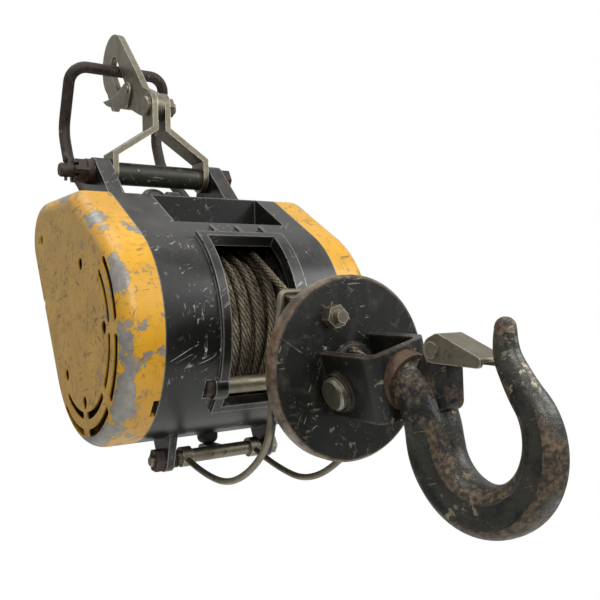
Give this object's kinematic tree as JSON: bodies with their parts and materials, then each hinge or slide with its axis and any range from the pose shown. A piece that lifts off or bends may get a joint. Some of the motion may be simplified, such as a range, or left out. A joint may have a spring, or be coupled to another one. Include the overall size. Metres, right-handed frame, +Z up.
{
  "type": "electric rope winch",
  "caption": "Portable electric rope winch with rounded side covers, wound rope drum, hook block with limit disc, limit lever, carrying handle and a plate suspension hook.",
  "frame": {"origin": "middle of the suspension bolt, on the winch's left-right centre plane", "axes": "+X to the right along the drum, +Y to the back, +Z up"},
  "size_m": [0.207, 0.5566, 0.3952],
  "materials": {
    "black_casting": "satin",
    "orange_cover": "satin",
    "zinc_steel": "satin",
    "worn_steel": "matte",
    "black_steel": "satin",
    "wire_rope": "satin",
    "soft_alloy": "satin",
    "machined_steel": "satin",
    "alloy_shield": "satin",
    "commutator_brass": "satin",
    "black_plastic": "matte",
    "black_rubber": "matte"
  },
  "bodies": {
    "housing": {"housing": "black_casting", "left_cover": "orange_cover", "right_cover": "orange_cover", "left_cover_screws": "zinc_steel", "right_cover_screws": "zinc_steel", "drum_bearings": "machined_steel", "motor_stator": "machined_steel", "motor_end_shields": "alloy_shield", "motor_bearings": "machined_steel", "brush_holders": "commutator_brass", "brushes": "black_plastic", "brush_caps": "black_plastic", "cable_gland": "black_rubber", "suspension_bolt": "worn_steel", "castle_nut": "zinc_steel", "cotter_pin": "worn_steel", "bolt_washers": "zinc_steel", "roller_bolt": "worn_steel", "lever_bolt": "worn_steel", "lever_nut": "worn_steel", "lever_spring": "zinc_steel", "switch_boot": "black_rubber"},
    "drum": {"drum": "machined_steel", "drum_shaft": "machined_steel", "rope_pack": "wire_rope", "drum_wheel": "machined_steel"},
    "layshaft": {"lay_shaft": "machined_steel", "lay_wheel": "machined_steel", "lay_pinion": "machined_steel"},
    "armature": {"armature_shaft": "machined_steel", "armature_core": "machined_steel", "commutator": "commutator_brass", "motor_pinion": "machined_steel", "cooling_fan": "black_plastic"},
    "roller": {"rope_roller": "zinc_steel"},
    "lever": {"limit_lever": "zinc_steel"},
    "hanger": {"left_hanger_strap": "zinc_steel", "right_hanger_strap": "zinc_steel", "spacer_sleeve": "black_steel", "hanger_pin": "zinc_steel", "hanger_nut": "zinc_steel"},
    "top_hook": {"plate_hook": "zinc_steel", "plate_latch_pin": "zinc_steel"},
    "top_gate": {"plate_latch": "zinc_steel"},
    "handle": {"carry_handle": "worn_steel"},
    "block": {"block_disc": "black_steel", "block_yoke": "black_steel", "block_axle": "worn_steel", "rope_thimble": "machined_steel", "rope_eye": "wire_rope", "rope_ferrule": "soft_alloy", "rope_fall": "wire_rope", "disc_bolt": "zinc_steel", "disc_nut": "zinc_steel", "swivel_seat": "worn_steel"},
    "hook": {"load_hook": "black_steel", "shank_nut": "worn_steel", "gate_pin": "zinc_steel"},
    "gate": {"hook_gate": "zinc_steel"}
  },
  "joints": [
    {"name": "drum_turn", "type": "hinge", "parent": "housing", "child": "drum", "pos_m": [0, -0.1, -0.134], "axis": [1, 0, 0], "range_deg": [0, 360]},
    {"name": "layshaft_turn", "type": "hinge", "parent": "housing", "child": "layshaft", "pos_m": [0, -0.04463, -0.0849], "axis": [1, 0, 0], "range_deg": [-1547.86, 5]},
    {"name": "armature_turn", "type": "hinge", "parent": "housing", "child": "armature", "pos_m": [0, 0.003, -0.06], "axis": [1, 0, 0], "range_deg": [-5, 7939.69]},
    {"name": "block_travel", "type": "slide", "parent": "housing", "child": "block", "axis": [-0.0471, -0.8687, -0.4931], "range_m": [0, 0.417], "deforming": ["rope_fall"]},
    {"name": "roller_turn", "type": "hinge", "parent": "housing", "child": "roller", "pos_m": [0, -0.17108, -0.17179], "axis": [1, 0, 0], "continuous": true},
    {"name": "lever_swing", "type": "hinge", "parent": "housing", "child": "lever", "pos_m": [0, -0.122, -0.229], "axis": [1, 0, 0], "range_deg": [-10, 0], "stiffness_Nm_per_rad": 0.6, "springref_deg": 25.78},
    {"name": "handle_swing", "type": "hinge", "parent": "housing", "child": "handle", "pos_m": [0, 0.043, -0.016], "axis": [1, 0, 0], "range_deg": [0, 9]},
    {"name": "hanger_swing", "type": "hinge", "parent": "housing", "child": "hanger", "pos_m": [0, 0, 0], "axis": [1, 0, 0], "range_deg": [-1, 15.94]},
    {"name": "top_hook_swing", "type": "hinge", "parent": "hanger", "child": "top_hook", "pos_m": [0, 0, 0.063], "axis": [1, 0, 0], "range_deg": [-11.14, 1]},
    {"name": "top_gate_swing", "type": "hinge", "parent": "top_hook", "child": "top_gate", "pos_m": [0, 0.05701, 0.09188], "axis": [1, 0, 0], "range_deg": [0, 22], "stiffness_Nm_per_rad": 0.05, "springref_deg": -17.19},
    {"name": "hook_swivel", "type": "hinge", "parent": "block", "child": "hook", "pos_m": [0.015, -0.318, -0.158], "axis": [0, -0.9622, -0.2723], "continuous": true},
    {"name": "gate_swing", "type": "hinge", "parent": "hook", "child": "gate", "pos_m": [0.015, -0.34845, -0.13856], "axis": [1, 0, 0], "range_deg": [0, 40], "stiffness_Nm_per_rad": 0.05, "springref_deg": -28.65}
  ],
  "couplings": [
    {"joint": "layshaft_turn", "follows": "drum_turn", "ratio": -4.2857},
    {"joint": "armature_turn", "follows": "drum_turn", "ratio": 22.041},
    {"joint": "block_travel", "follows": "drum_turn", "m_per_rad": 0.06605},
    {"joint": "hanger_swing", "follows": "handle_swing", "ratio": 1.6602},
    {"joint": "top_hook_swing", "follows": "handle_swing", "ratio": -1.1267}
  ]
}
